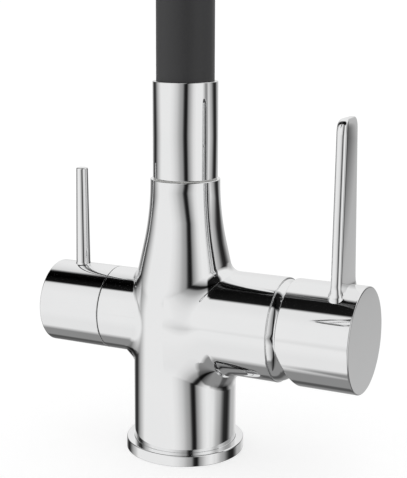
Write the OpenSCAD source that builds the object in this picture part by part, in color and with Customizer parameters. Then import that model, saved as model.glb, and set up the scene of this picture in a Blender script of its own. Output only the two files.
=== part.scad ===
// Three way filtered water tap with a flexible spout.
// Frame: +Z up, origin at the centre of the base on the worktop.
// The spout reaches forward along -Y, the mixer arm points to +X
// and the filtered water arm to -X.

/* [Base and fixing] */
// Outer radius of the base ring
base_r = 26.7; // [25.5:0.1:29]
// Height of the base ring above the worktop
base_h = 5; // [4:0.5:8]
// Thickness of the ring's web under the column
base_web = 1.5; // [1:0.25:2]
// Thickness of the gasket under the ring
gasket_t = 1.5; // [1:0.25:2]
// Width of the ring's rim outside the gasket
rim_w = 2.2; // [1.5:0.1:3]
// Outer radius of the threaded shank
shank_r = 16.5; // [16:0.1:17.5]
// Wall of the shank
shank_wall = 2.4; // [1.5:0.1:2.8]
// Length of the shank below the worktop
shank_below = 52; // [50:1:70]
// Length of shank screwed into the column
shank_grip = 9; // [7:0.5:11]
// Thickness of the worktop that the nut clamps
deck_t = 30; // [20:1:32]
// Radius of the two fixing washers
washer_r = 24; // [22:0.5:28]
// Thickness of the rubber fixing washer
rubber_t = 3; // [2:0.5:4]
// Thickness of the steel fixing washer
steel_t = 1.5; // [1:0.5:2.5]
// Height of the shank nut
nut_h = 8; // [6:0.5:10]
// Corner radius of the hexagonal shank nut
nut_r = 23; // [22:0.5:26]

/* [Body] */
// Radius of the column
column_r = 23.1; // [22.8:0.1:24]
// Radius of the neck at its top
neck_r = 15.5; // [15:0.1:16.5]
// Height of the neck's top edge
neck_top = 124.1; // [118:0.5:132]
// Steepest slope of the flare, in degrees
flare_angle = 12.2; // [11:0.1:14]
// Radius of the flare's lower, convex curve
flare_low_r = 80; // [60:5:90]
// Radius of the flare's upper, hollow curve
flare_high_r = 130; // [100:5:140]
// Height of both arms' axis
arm_z = 61; // [60:0.5:64]
// Wall of the mixer arm round the thread of the cartridge nut
arm_wall = 3.4; // [3:0.1:3.5]
// Room for the retaining nut between the cartridge and the mixer arm's face
nut_room = 5.5; // [5:0.5:9]
// Radius of the filtered water arm
filter_r = 19; // [18:0.25:20]
// Distance from the column's axis to the filtered water arm's face
filter_face = 35; // [34:0.5:38]
// Chamfer of the chromed edges
edge = 0.6; // [0.3:0.1:0.8]

/* [Waterways] */
// Radius of the hose sockets under the body
socket_r = 4.5; // [4:0.25:4.75]
// Depth of the hose sockets
socket_depth = 10; // [8:0.5:13]
// Distance of the hose sockets from the axis
socket_pitch = 8.6; // [8.4:0.1:8.8]
// Radius of the hot, cold and mixed water ducts
duct_r = 3; // [2.5:0.1:3.1]
// Radius of the filtered water ducts
filter_duct_r = 2.3; // [1.8:0.1:2.5]
// Radius of the mixing bore below the swivel
mix_bore_r = 8; // [7:0.25:9]

/* [Mixer cartridge] */
// Distance from the column's axis to the cartridge's seat
seat_x = 17; // [16:0.25:17.5]
// Outer radius of the cartridge
cartridge_r = 17.4; // [17:0.1:17.6]
// Wall of the cartridge housing
housing_wall = 2.2; // [1.8:0.1:2.4]
// Thickness of the cartridge base
cart_base_t = 4; // [3.5:0.25:4.5]
// Room between the fixed ceramic disc and the housing's wall
disc_room = 0.6; // [0.4:0.1:1]
// Thickness of the fixed ceramic disc
fixed_disc_t = 3.5; // [3:0.25:4]
// Step from the fixed disc's edge in to the sliding disc's edge
slide_step = 3.2; // [2.8:0.1:3.4]
// Thickness of the sliding ceramic disc
slide_disc_t = 3.4; // [3:0.1:3.8]
// Radius of the water ports in the discs
port_r = 2.2; // [1.8:0.1:2.6]
// Height of the hot and cold ports above the arm's axis
inlet_rise = 3; // [2.5:0.25:3.5]
// Depth of the outlet port below the arm's axis
outlet_drop = 7; // [6.5:0.25:7.5]
// How far outside the housing's face the pin lies that the spindle tilts on
pivot_out = 1; // [0.75:0.25:1.5]
// Radius of the ball at the spindle's inner end
ball_r = 3; // [2.5:0.1:3.2]
// Distance from the tilting pin to the ball
ball_arm = 12; // [11.75:0.25:12.25]
// Width of the square spindle
spindle_w = 7.6; // [7:0.1:8]
// Radius of the tilting pin
pin_r = 1.5; // [1.2:0.1:1.8]
// Largest tilt of the handle, in degrees
tilt_max = 20; // [15:1:20]

/* [Dome and handle] */
// How far the dome's full rounding would stand out past the handle
dome_proud = 0.6; // [0.4:0.1:0.7]
// How far inside the arm's face the centre of the dome's rounding lies
dome_set = 8; // [7.5:0.1:8.5]
// Length of the dome ring outside the arm
dome_out = 7.8; // [7:0.2:8]
// Wall of the dome ring
dome_wall = 1.6; // [1.2:0.1:1.8]
// How far the handle stands out past the arm
handle_proud = 0.1; // [0:0.1:1]
// Gap between the arm's face and the handle's inner face
handle_gap = 4; // [3.8:0.1:4.5]
// Length of the handle's drum
handle_len = 32; // [30:0.5:37]
// Wall of the handle round the dome
handle_wall = 1.5; // [1.2:0.1:1.6]
// Thickness of the handle's solid end
handle_cap = 14.5; // [12:0.5:15]
// Depth below the arm's axis where the handle's slanted relief starts
relief_drop = 2.2; // [2:0.1:3]
// Slant of the relief under the handle, in degrees
relief_angle = 18; // [17.6:0.1:19]
// Height of the lever's tip
lever_top = 154.5; // [140:0.5:175]
// Width of the lever at its foot
lever_foot_w = 25; // [21:0.5:29]
// Width of the lever near its tip
lever_tip_w = 18.2; // [15:0.2:22]
// Thickness of the lever
lever_t = 4.7; // [4:0.1:6]
// Distance from the handle's end face to the lever's outer face
lever_inset = 7.8; // [7:0.2:9]
// Radius of the lever's upper corners
lever_corner = 4.5; // [2:0.25:6]

/* [Filter valve] */
// Radius of the valve's thread
valve_r = 10.4; // [10:0.1:11]
// Distance from the column's axis to the valve's seat
valve_seat = 17; // [16:0.25:18]
// Radius of the valve's ceramic discs
valve_disc_r = 7.9; // [7.6:0.1:8.1]
// Thickness of each ceramic disc of the valve
valve_disc_t = 2.4; // [2:0.1:2.8]
// Offset of the valve's two ports from its axis
valve_port = 4.6; // [4.4:0.1:4.8]
// Radius of the valve's spindle
valve_stem_r = 5; // [4.5:0.1:5.5]
// Length of the valve outside the arm
valve_neck = 10; // [8:0.5:11]
// Distance from the column's axis to the knob's end face
knob_end = 66; // [64:0.5:72]
// Gap between the arm and the knob
knob_gap = 0.4; // [0.3:0.1:0.8]
// Wall of the knob
knob_wall = 2.5; // [2:0.1:3]
// Thickness of the knob's end
knob_cap = 6; // [4:0.5:7]
// Distance from the knob's end face to the pin lever's axis
pin_lever_inset = 12.6; // [11:0.2:14]
// Height of the pin lever's tip
pin_lever_top = 125.2; // [110:0.5:140]
// Radius of the pin lever at its foot
pin_lever_foot_r = 3.3; // [2.8:0.1:4]
// Radius of the pin lever at its tip
pin_lever_tip_r = 2.7; // [2.2:0.1:3.2]

/* [Swivel and collar] */
// Radius of the collar and of the nozzle
collar_r = 14.4; // [14.2:0.1:15]
// Height of the collar's top edge
collar_top = 167; // [160:0.5:180]
// Height of the slide ring between the neck and the collar
slide_ring_t = 0.4; // [0.3:0.1:0.8]
// Radius of the swivel stem in the neck
stem_r = 11.93; // [11.5:0.01:12]
// Depth of the swivel socket in the neck
stem_depth = 25; // [23:0.5:27]
// Radius of the stem's bore
stem_bore_r = 8.5; // [8:0.1:8.6]
// Radius of the rubber cord of the stem's seals
o_ring_r = 1; // [0.8:0.05:1.1]
// Radius of the screw that locks the stem in the neck
lock_r = 2; // [1.5:0.1:2.2]

/* [Flexible spout] */
// Outer radius of the silicone sleeve
sleeve_r = 12.8; // [12.6:0.05:12.9]
// Inner radius of the silicone sleeve
sleeve_bore = 9; // [8.9:0.05:9.3]
// Outer radius of the mixed water hose
hose_r = 8.4; // [8:0.05:8.45]
// Inner radius of the mixed water hose
hose_bore = 6.5; // [6:0.1:6.7]
// Outer radius of the filtered water tube
tube_r = 3; // [2.6:0.1:3.2]
// Inner radius of the filtered water tube
tube_bore = 2; // [1.5:0.1:2.2]
// Height where the straight riser meets the bend
bend_z = 300; // [280:5:340]
// Radius of the bend, along its centre line
bend_r = 95; // [90:1:110]
// Length of the straight drop between the bend and the nozzle
drop_len = 15; // [12:1:30]
// Largest angle that one joint of the spout turns, in degrees
flex_max = 12; // [8:1:12]

/* [Nozzle and aerator] */
// Length of the nozzle
nozzle_len = 60; // [56:1:70]
// Length of sleeve held inside the nozzle
sleeve_grip = 18; // [14:1:20]
// Radius of the aerator's thread
aerator_r = 11.5; // [11:0.1:12]
// Length of the aerator housing
aerator_len = 22; // [20:0.5:24]
// Radius of the filtered water outlet
outlet_r = 3.9; // [3.6:0.1:4.2]
// Radius of each jet hole in the aerator
jet_r = 0.9; // [0.7:0.05:1]

/* [Hidden] */

$fn = 96;
chrome = [0.86, 0.87, 0.88];
brass = [0.78, 0.64, 0.35];
steel = [0.62, 0.63, 0.65];
rubber = [0.12, 0.12, 0.12];
silicone = [0.2, 0.2, 0.21];
ceramic = [0.93, 0.91, 0.86];
white_plastic = [0.9, 0.9, 0.88];
grey_plastic = [0.45, 0.46, 0.48];
clear_tube = [0.85, 0.88, 0.9];

// Clearances: a threaded or pressed fit, a running fit, flat faces that slide and pieces that pass
press_gap = 0.02;
fit_gap = 0.07;
disc_film = 0.05;
pass_gap = 0.3;
// Overrun of every cut past the face that it opens
overrun = 1;
half = 1 / 2;
arc_steps = 10;

// Heights in the base and the body
foot_z = gasket_t + base_web;
web_z = foot_z + shank_grip;
socket_top = web_z + socket_depth;
socket_angles = [60, -60, 180];
neck_straight = 1.1;
flare_top = neck_top - neck_straight;
flare_high_z = flare_top - flare_high_r * sin(flare_angle);
flare_high_x = neck_r + flare_high_r * (1 - cos(flare_angle));
flare_low_x = column_r - flare_low_r * (1 - cos(flare_angle));
flare_low_z = flare_high_z - (flare_low_x - flare_high_x) / tan(flare_angle);
flare_foot = flare_low_z - flare_low_r * sin(flare_angle);

// Waterways: the upright ducts are narrower than the level ones that they open into
riser_r = duct_r - pass_gap;
filter_riser_r = filter_duct_r - pass_gap;
inlet_x = socket_pitch * cos(socket_angles[0]);
inlet_y = socket_pitch * sin(socket_angles[0]);
outlet_duct_z = arm_z + valve_port;
tube_foot = outlet_duct_z + filter_duct_r + pass_gap;
tube_grip = 6;
seal_cord = 0.8;
seal_pocket_z = tube_foot + tube_grip;
mix_floor = seal_pocket_z + 2 * seal_cord;
mix_duct_rise = 4;

// Mixer cartridge, as distances along the arm from the column's axis
cart_front_t = 3;
base_top_x = seat_x + cart_base_t;
fixed_disc_r = cartridge_r - housing_wall - disc_room;
slide_disc_r = fixed_disc_r - slide_step;
slide_disc_x = base_top_x + fixed_disc_t + disc_film;
carrier_x = slide_disc_x + slide_disc_t;
carrier_t = 3.5;
ball_room = 1.05;
ball_x = carrier_x + ball_room + ball_r;
pivot_x = ball_x + ball_arm;
housing_end = pivot_x - pivot_out;
housing_len = housing_end - base_top_x;
shoulder_x = housing_end - cart_front_t;
mixer_face = housing_end + nut_room;
handle_x = mixer_face + handle_gap;
handle_end = handle_x + handle_len;
carrier_boss_end = ball_x + 0.72 * ball_r;
carrier_r = slide_disc_r + pass_gap;
carrier_trim = 1.55;
carrier_flat = slide_disc_r - carrier_trim;
rotor_flange_t = 5;
rotor_flange_r = cartridge_r - housing_wall - pass_gap;
rotor_step = 2.97;
rotor_neck_r = rotor_flange_r - rotor_step;
rotor_x = shoulder_x - half * pass_gap - rotor_flange_t;
rotor_end = housing_end + rotor_flange_t - half * overrun;
slide_travel = ball_arm * tilt_max * PI / 180;
slide_rest = -half * slide_travel;
peg_r = 1.5;
peg_len = 2;
peg_inset = 4.4;
peg_pitch = cartridge_r - peg_inset;
nut_ledge = 2.1;
nut_thread_r = cartridge_r + nut_ledge;
nut_depth = 7;
nut_seat_x = mixer_face - nut_depth;
mixer_r = nut_thread_r + arm_wall;
retainer_t = 3.3;
spindle_end = handle_end - handle_cap + overrun - half;
spindle_neck_r = 2;
spindle_block_x = ball_x + 1.4 * ball_r;

// Dome and handle
handle_r = mixer_r + handle_proud;
dome_r = handle_r + dome_proud;
dome_centre = mixer_face - dome_set;
dome_foot = mixer_face + press_gap;
dome_tip = mixer_face + dome_out;
dome_skirt = 2;
handle_bore_end = handle_end - handle_cap;
hub_r = 9;
hub_x = dome_tip + dome_wall;
lever_x = handle_end - lever_inset - lever_t;
lever_mid_x = lever_x + half * lever_t;
lever_foot_z = arm_z + sqrt(pow(handle_r, 2) - pow(half * lever_foot_w, 2)) - overrun;
stud_r = 2.2;
stud_len = 9;
screw_inset = 5;
screw_x = handle_bore_end - screw_inset;
screw_r = 2.5;
screw_len = 5;
plug_r = 3.2;
hex_share = 0.55;

// Filter valve, as distances along the arm from the column's axis
valve_flange_r = 12.5;
valve_flange_t = 3;
valve_end = filter_face + valve_neck;
valve_seal_t = 2.2;
valve_disc_x = valve_seat + valve_seal_t;
valve_turn_x = valve_disc_x + valve_disc_t + disc_film;
valve_drive_x = valve_turn_x + valve_disc_t;
valve_drive_t = 3;
valve_chamber_end = valve_drive_x + valve_drive_t + half * pass_gap;
valve_neck_r = 8;
valve_ring_x = filter_face + 2;
clip_t = 1;
clip_gap = 0.1;
knob_x = filter_face + knob_gap;
knob_bore_end = knob_end - knob_cap;
knob_hub_r = 7.5;
knob_hub_x = valve_end + clip_t + 4 * clip_gap + overrun;
square_w = 6.6;
pin_lever_x = knob_end - pin_lever_inset;
pin_lever_foot = arm_z + filter_r - half * pass_gap;

// Swivel
collar_z = neck_top + slide_ring_t + 2 * disc_film;
stem_foot = neck_top - stem_depth + overrun;
neck_socket_r = stem_r + fit_gap;
stem_flange_r = sleeve_r - 2 * disc_film;
stem_rise = 18;
stem_top = collar_z + stem_rise;
lock_z = neck_top - half * stem_depth;
groove_depth = 1.6;
seal_groove_w = 2.6;
seal_offset = 7;
seal_ring_r = neck_socket_r - disc_film - o_ring_r;
collar_bore = sleeve_r + disc_film;
sleeve_foot = stem_top + disc_film;
hose_overlap = 3;
hose_foot = stem_top - hose_overlap;

// Flexible spout: four joints between five stretches of the bend
joint_count = 4;
stretch = 180 / (joint_count + 1);
ball_proud = 0.2;
sleeve_ball = sleeve_r + ball_proud;
hose_ball = hose_r + ball_proud;
tube_ball = tube_r + ball_proud;
root_len = 1;
nozzle_top = drop_len;
nozzle_foot = nozzle_top + nozzle_len;
sleeve_end = nozzle_top + sleeve_grip;
aerator_rim = 1;
aerator_top = nozzle_foot + aerator_rim - aerator_len;
aerator_seal_t = 2;
nozzle_flange_t = 6;
nozzle_flange_x = aerator_top - aerator_seal_t - nozzle_flange_t;
spigot_len = 16;
tube_plunge = 8;
tube_end = nozzle_flange_x + nozzle_flange_t + aerator_seal_t + tube_plunge;
insert_t = 9;
aerator_wall = 1.4;
aerator_lip = 0.8;
// Jet holes of each ring, with the ring's radius as a share of the insert's radius
jet_row_shares = [[10, 0.55], [14, 0.78]];

// Shapes that several pieces share
module tube(outer, inner, height) {
    difference() {
        cylinder(r = outer, h = height);
        translate([0, 0, -overrun]) cylinder(r = inner, h = height + 2 * overrun);
    }
}

module straight_tube(outer, inner, height) {
    rotate_extrude($fn = 64) translate([inner, 0]) square([outer - inner, height]);
}

module rounded_disc(radius, height, bevel) {
    rotate_extrude() polygon([
        [0, 0], [radius, 0], [radius, height - bevel], [radius - bevel, height], [0, height]
    ]);
}

module o_ring(centre_r, cord_r) {
    rotate_extrude() translate([centre_r, 0]) circle(r = cord_r, $fn = 32);
}

// Local z runs outwards along the mixer arm, from x along it
module on_mixer(x) {
    translate([x, 0, arm_z]) rotate([0, 90, 0]) children();
}

// Local z runs outwards along the filtered water arm, from x along it
module on_filter(x) {
    translate([-x, 0, arm_z]) rotate([0, -90, 0]) children();
}

// The places of the hot, cold and outlet ports round the mixer arm's axis
module at_ports(x) {
    for (side = [-1, 1]) {
        translate([x, side * inlet_y, arm_z + inlet_rise]) rotate([0, 90, 0]) children();
    }
    translate([x, 0, arm_z - outlet_drop]) rotate([0, 90, 0]) children();
}

// The places of the filter valve's two ports
module at_valve_ports(x) {
    for (side = [-1, 1]) {
        translate([-x, 0, arm_z + side * valve_port]) rotate([0, -90, 0]) children();
    }
}

// A grub screw pointing along local -z, its hexagon socket in the top
module grub_screw(radius, length) {
    difference() {
        cylinder(r = radius, h = length);
        translate([0, 0, half * length]) cylinder(r = hex_share * radius, h = length, $fn = 6);
    }
}

// Base and fixing
function flare_arc(centre_x, centre_z, radius, from, to, side) = [
    for (i = [0 : arc_steps])
        let (a = from + (to - from) * i / arc_steps)
        [centre_x + side * radius * cos(a), centre_z + side * radius * sin(a)]
];

function body_outline() = concat(
    [[0, foot_z], [column_r, foot_z]],
    flare_arc(column_r - flare_low_r, flare_foot, flare_low_r, 0, flare_angle, 1),
    flare_arc(neck_r + flare_high_r, flare_top, flare_high_r, flare_angle, 0, -1),
    [[neck_r, neck_top - edge], [neck_r - edge, neck_top], [0, neck_top]]
);

module body_bores() {
    translate([0, 0, foot_z - overrun]) cylinder(r = shank_r + press_gap, h = shank_grip + overrun);
    for (a = socket_angles) {
        rotate([0, 0, a]) translate([socket_pitch, 0, web_z - overrun])
            cylinder(r = socket_r, h = socket_depth + overrun);
    }
    // Hot and cold ducts, up to the cartridge's inlet ports
    for (side = [-1, 1]) {
        translate([inlet_x, side * inlet_y, socket_top - overrun])
            cylinder(r = riser_r, h = arm_z + inlet_rise - socket_top + overrun);
        translate([inlet_x - duct_r, side * inlet_y, arm_z + inlet_rise]) rotate([0, 90, 0])
            cylinder(r = duct_r, h = seat_x - inlet_x + duct_r + overrun);
    }
    // Mixed water duct, from the cartridge's outlet up to the mixing bore
    translate([socket_pitch - duct_r, 0, arm_z - outlet_drop]) rotate([0, 90, 0])
        cylinder(r = duct_r, h = seat_x - socket_pitch + duct_r + overrun);
    translate([socket_pitch, 0, arm_z - outlet_drop])
        cylinder(r = riser_r, h = mix_floor + mix_duct_rise - arm_z + outlet_drop);
    // Filtered water ducts, into the valve and on to the tube's socket
    translate([-socket_pitch, 0, socket_top - overrun])
        cylinder(r = filter_riser_r, h = arm_z - valve_port - socket_top + overrun);
    translate([filter_duct_r - socket_pitch, 0, arm_z - valve_port]) rotate([0, -90, 0])
        cylinder(r = filter_duct_r, h = valve_seat - socket_pitch + filter_duct_r + overrun);
    translate([0, 0, outlet_duct_z]) rotate([0, -90, 0])
        cylinder(r = filter_duct_r, h = valve_seat + overrun);
    translate([0, 0, outlet_duct_z - filter_duct_r - pass_gap]) cylinder(r = tube_r + fit_gap,
        h = seal_pocket_z - outlet_duct_z + filter_duct_r + pass_gap + overrun);
    translate([0, 0, seal_pocket_z])
        cylinder(r = tube_r + 2 * seal_cord + fit_gap, h = 2 * seal_cord + overrun);
    // Mixing bore, swivel socket and the hole of the locking screw
    translate([0, 0, mix_floor]) cylinder(r = mix_bore_r, h = neck_top - mix_floor);
    translate([0, 0, neck_top - stem_depth]) cylinder(r = neck_socket_r, h = stem_depth + overrun);
    translate([0, 0, lock_z]) rotate([-90, 0, 0]) cylinder(r = lock_r + press_gap, h = column_r);
    // Cartridge bore, its nut's thread and its two locating holes
    on_mixer(seat_x) cylinder(r = cartridge_r + 2 * fit_gap, h = mixer_face - seat_x + overrun);
    on_mixer(nut_seat_x) cylinder(r = nut_thread_r + press_gap, h = mixer_face - nut_seat_x + overrun);
    for (side = [-1, 1]) {
        on_mixer(seat_x - peg_len - pass_gap) translate([0, side * peg_pitch, 0])
            cylinder(r = peg_r + fit_gap, h = peg_len + pass_gap + overrun);
    }
    // Filter valve bore and the recess of its flange
    on_filter(valve_seat) cylinder(r = valve_r + press_gap, h = filter_face - valve_seat + overrun);
    on_filter(filter_face - valve_flange_t)
        cylinder(r = valve_flange_r + pass_gap, h = valve_flange_t + overrun);
}

module body() {
    color(chrome) difference() {
        union() {
            rotate_extrude() polygon(body_outline());
            on_mixer(0) rounded_disc(mixer_r, mixer_face, edge);
            on_filter(0) rounded_disc(filter_r, filter_face, half * edge);
        }
        body_bores();
    }
}

module base_ring() {
    color(chrome) rotate_extrude() polygon([
        [base_r - rim_w, 0], [base_r, 0], [base_r, base_h - edge], [base_r - edge, base_h],
        [column_r + disc_film, base_h], [column_r + disc_film, foot_z],
        [shank_r + pass_gap, foot_z], [shank_r + pass_gap, gasket_t], [base_r - rim_w, gasket_t]
    ]);
}

module base_gasket() {
    color(rubber) tube(base_r - rim_w - disc_film, shank_r + pass_gap, gasket_t);
}

module shank() {
    color(brass) translate([0, 0, -shank_below])
        tube(shank_r, shank_r - shank_wall, shank_below + web_z);
}

module rubber_washer() {
    color(rubber) translate([0, 0, -deck_t - rubber_t]) tube(washer_r, shank_r + pass_gap, rubber_t);
}

module steel_washer() {
    color(steel) translate([0, 0, -deck_t - rubber_t - steel_t])
        tube(washer_r, shank_r + pass_gap, steel_t);
}

module shank_nut() {
    color(brass) translate([0, 0, -deck_t - rubber_t - steel_t - nut_h]) difference() {
        cylinder(r = nut_r, h = nut_h, $fn = 6);
        translate([0, 0, -overrun]) cylinder(r = shank_r + fit_gap, h = nut_h + 2 * overrun);
    }
}

// Mixer cartridge
module cartridge_housing() {
    color(white_plastic) difference() {
        on_mixer(base_top_x) cylinder(r = cartridge_r, h = housing_len);
        on_mixer(base_top_x - overrun)
            cylinder(r = cartridge_r - housing_wall, h = shoulder_x - base_top_x + overrun);
        on_mixer(base_top_x) cylinder(r = rotor_neck_r + fit_gap, h = housing_len + overrun);
    }
}

module cartridge_base() {
    color(grey_plastic) difference() {
        union() {
            on_mixer(seat_x) cylinder(r = cartridge_r, h = cart_base_t);
            for (side = [-1, 1]) {
                on_mixer(seat_x - peg_len) translate([0, side * peg_pitch, 0])
                    cylinder(r = peg_r, h = peg_len + overrun);
            }
        }
        at_ports(seat_x - overrun) cylinder(r = duct_r, h = cart_base_t + 2 * overrun);
        at_ports(seat_x - overrun) cylinder(r = duct_r + 2 * seal_cord + fit_gap,
            h = 2 * seal_cord + overrun);
    }
}

module port_seals() {
    color(rubber) at_ports(seat_x + seal_cord) o_ring(duct_r + seal_cord, seal_cord);
}

module fixed_disc() {
    color(ceramic) difference() {
        on_mixer(base_top_x) cylinder(r = fixed_disc_r, h = fixed_disc_t);
        at_ports(base_top_x - overrun) cylinder(r = port_r, h = fixed_disc_t + 2 * overrun);
    }
}

module sliding_disc() {
    chamber_r = 3.5;
    chamber_reach = 4;
    chamber_drop = 2.4;
    color(ceramic) translate([0, 0, slide_rest]) difference() {
        on_mixer(slide_disc_x) cylinder(r = slide_disc_r, h = slide_disc_t);
        for (side = [-1, 1]) {
            on_mixer(slide_disc_x - overrun) translate([chamber_drop, side * chamber_reach, 0])
                cylinder(r = chamber_r, h = half * slide_disc_t + overrun);
        }
        on_mixer(slide_disc_x - overrun) translate([chamber_drop - chamber_r, -chamber_reach, 0])
            cube([2 * chamber_r, 2 * chamber_reach, half * slide_disc_t + overrun]);
    }
}

module disc_carrier() {
    color(grey_plastic) difference() {
        union() {
            translate([0, 0, slide_rest]) intersection() {
                on_mixer(carrier_x) cylinder(r = carrier_r, h = carrier_t);
                on_mixer(carrier_x) translate([-carrier_r, -carrier_flat, 0])
                    cube([2 * carrier_r, 2 * carrier_flat, carrier_t]);
            }
            on_mixer(carrier_x) cylinder(r = 1.75 * ball_r, h = carrier_boss_end - carrier_x);
        }
        on_mixer(ball_x - ball_r - pass_gap)
            cylinder(r = ball_r + pass_gap, h = 3 * ball_r);
    }
}

module rotor() {
    slot_h = 1.1 * spindle_w;
    tab_in = carrier_flat + pass_gap;
    tab_w = 3.6;
    tab_h = spindle_w + 2 * overrun;
    tab_x = carrier_x + pass_gap;
    color(white_plastic) difference() {
        union() {
            on_mixer(rotor_x) cylinder(r = rotor_flange_r, h = rotor_flange_t);
            on_mixer(rotor_x) cylinder(r = rotor_neck_r, h = rotor_end - rotor_x);
            for (side = [-1, 1]) {
                translate([tab_x, side * (tab_in + half * tab_w) - half * tab_w, arm_z - half * tab_h])
                    cube([rotor_x - tab_x + overrun, tab_w, tab_h]);
            }
        }
        translate([rotor_x - overrun, -half * spindle_w - pass_gap, arm_z - 0.8 * spindle_w])
            cube([rotor_end - rotor_x + 2 * overrun, spindle_w + 2 * pass_gap, 0.8 * spindle_w + slot_h]);
        translate([pivot_x, 0, arm_z]) rotate([90, 0, 0])
            cylinder(r = pin_r + press_gap, h = 3 * rotor_neck_r, center = true);
    }
}

module tilt_pin() {
    color(steel) translate([pivot_x, 0, arm_z]) rotate([90, 0, 0])
        cylinder(r = pin_r, h = 2 * (rotor_neck_r - overrun), center = true);
}

module spindle() {
    color(steel) difference() {
        union() {
            translate([spindle_block_x, -half * spindle_w, arm_z - half * spindle_w])
                cube([spindle_end - spindle_block_x, spindle_w, spindle_w]);
            on_mixer(ball_x) cylinder(r = spindle_neck_r, h = spindle_block_x - ball_x + overrun);
            on_mixer(ball_x) sphere(r = ball_r, $fn = 48);
        }
        translate([pivot_x, 0, arm_z]) rotate([90, 0, 0])
            cylinder(r = pin_r + fit_gap, h = 2 * spindle_w, center = true);
    }
}

module retaining_nut() {
    slot_w = 4;
    color(brass) difference() {
        on_mixer(housing_end) tube(nut_thread_r, rotor_neck_r + 5 * pass_gap, retainer_t);
        for (side = [-1, 1]) {
            on_mixer(housing_end + half * retainer_t)
                translate([side * nut_thread_r - slot_w, -half * slot_w, 0])
                cube([2 * slot_w, slot_w, retainer_t]);
        }
    }
}

// Dome and handle
function dome_curve(radius, from, to) = [
    for (i = [0 : arc_steps])
        let (x = from + (to - from) * i / arc_steps)
        [sqrt(pow(radius, 2) - pow(x - dome_centre, 2)), x]
];

module dome_ring() {
    web_x = dome_foot + dome_wall;
    skirt_in = nut_thread_r - dome_skirt;
    color(chrome) translate([0, 0, arm_z]) rotate([0, 90, 0]) rotate_extrude() polygon(concat(
        dome_curve(dome_r, dome_foot, dome_tip),
        dome_curve(dome_r - dome_wall, dome_tip, web_x),
        [[skirt_in, web_x], [skirt_in, housing_end + retainer_t + disc_film],
         [nut_thread_r, housing_end + retainer_t + disc_film], [nut_thread_r, dome_foot]]
    ));
}

module handle() {
    reach = 3 * handle_r;
    color(chrome) difference() {
        on_mixer(handle_x) rounded_disc(handle_r, handle_end - handle_x, edge);
        difference() {
            on_mixer(handle_x - overrun)
                cylinder(r = handle_r - handle_wall, h = handle_bore_end - handle_x + overrun);
            on_mixer(hub_x) cylinder(r = hub_r, h = handle_end - hub_x);
        }
        // Square socket of the spindle
        translate([hub_x - overrun, -half * spindle_w - fit_gap, arm_z - half * spindle_w - fit_gap])
            cube([spindle_end - hub_x + overrun + pass_gap, spindle_w + 2 * fit_gap,
                spindle_w + 2 * fit_gap]);
        // Slanted relief that lets the handle tilt
        translate([handle_x, -half * reach, arm_z - relief_drop]) rotate([0, -relief_angle, 0])
            translate([-reach, 0, -reach]) cube([reach, reach, reach]);
        // Key hole, screw thread and the lever's stud hole
        translate([screw_x, 0, arm_z - reach]) cylinder(r = plug_r + press_gap, h = reach - hub_r - overrun);
        translate([screw_x, 0, arm_z - reach]) cylinder(r = screw_r + press_gap, h = reach);
        translate([lever_mid_x, 0, arm_z + handle_r - stud_len])
            cylinder(r = stud_r + press_gap, h = stud_len + overrun);
    }
}

module handle_screw() {
    color(steel) translate([screw_x, 0, arm_z - half * spindle_w - fit_gap]) rotate([180, 0, 0])
        grub_screw(screw_r, screw_len);
}

module handle_plug() {
    color(chrome) intersection() {
        translate([screw_x, 0, arm_z - handle_r]) cylinder(r = plug_r, h = 2 * handle_wall);
        on_mixer(handle_x) cylinder(r = handle_r - disc_film, h = handle_end - handle_x);
    }
}

function corner_arc(y, z, radius, from) = [
    for (i = [0 : arc_steps])
        let (a = from + 90 * i / arc_steps)
        [y + radius * cos(a), z + radius * sin(a)]
];

module mixer_lever() {
    tip_y = half * lever_tip_w - lever_corner;
    tip_z = lever_top - lever_corner;
    color(chrome) difference() {
        union() {
            translate([lever_x, 0, 0]) rotate([90, 0, 90]) linear_extrude(lever_t) polygon(concat(
                [[-half * lever_foot_w, lever_foot_z], [half * lever_foot_w, lever_foot_z]],
                corner_arc(tip_y, tip_z, lever_corner, 0),
                corner_arc(-tip_y, tip_z, lever_corner, 90)
            ));
            translate([lever_mid_x, 0, arm_z + handle_r - stud_len + pass_gap])
                cylinder(r = stud_r, h = stud_len);
        }
        difference() {
            on_mixer(handle_x) cylinder(r = handle_r + press_gap, h = handle_end - handle_x);
            translate([lever_mid_x, 0, arm_z]) cylinder(r = stud_r, h = 2 * handle_r);
        }
    }
}

// Filter valve
module valve_body() {
    color(brass) difference() {
        union() {
            on_filter(valve_seat) cylinder(r = valve_r, h = filter_face - valve_seat);
            on_filter(filter_face - valve_flange_t)
                cylinder(r = valve_flange_r, h = valve_flange_t, $fn = 6);
            on_filter(filter_face - overrun) cylinder(r = valve_neck_r, h = valve_neck + overrun);
        }
        on_filter(valve_seat - overrun)
            cylinder(r = valve_disc_r + press_gap, h = valve_chamber_end - valve_seat + overrun);
        on_filter(valve_seat) cylinder(r = valve_stem_r + fit_gap, h = valve_end);
    }
}

module valve_seal() {
    color(rubber) difference() {
        on_filter(valve_seat) cylinder(r = valve_disc_r, h = valve_seal_t);
        at_valve_ports(valve_seat - overrun) cylinder(r = filter_duct_r, h = valve_seal_t + 2 * overrun);
    }
}

module valve_fixed_disc() {
    color(ceramic) difference() {
        on_filter(valve_disc_x) cylinder(r = valve_disc_r, h = valve_disc_t);
        at_valve_ports(valve_disc_x - overrun)
            cylinder(r = filter_duct_r, h = valve_disc_t + 2 * overrun);
    }
}

module valve_turning_disc() {
    turning_r = valve_disc_r - pass_gap;
    slot_w = 1.9 * filter_duct_r;
    slot_l = 1.7 * turning_r;
    color(ceramic) difference() {
        on_filter(valve_turn_x) cylinder(r = turning_r, h = valve_disc_t);
        on_filter(valve_turn_x - overrun) translate([-half * slot_w, -half * slot_l, 0])
            cube([slot_w, slot_l, overrun + half * valve_disc_t]);
    }
}

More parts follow.
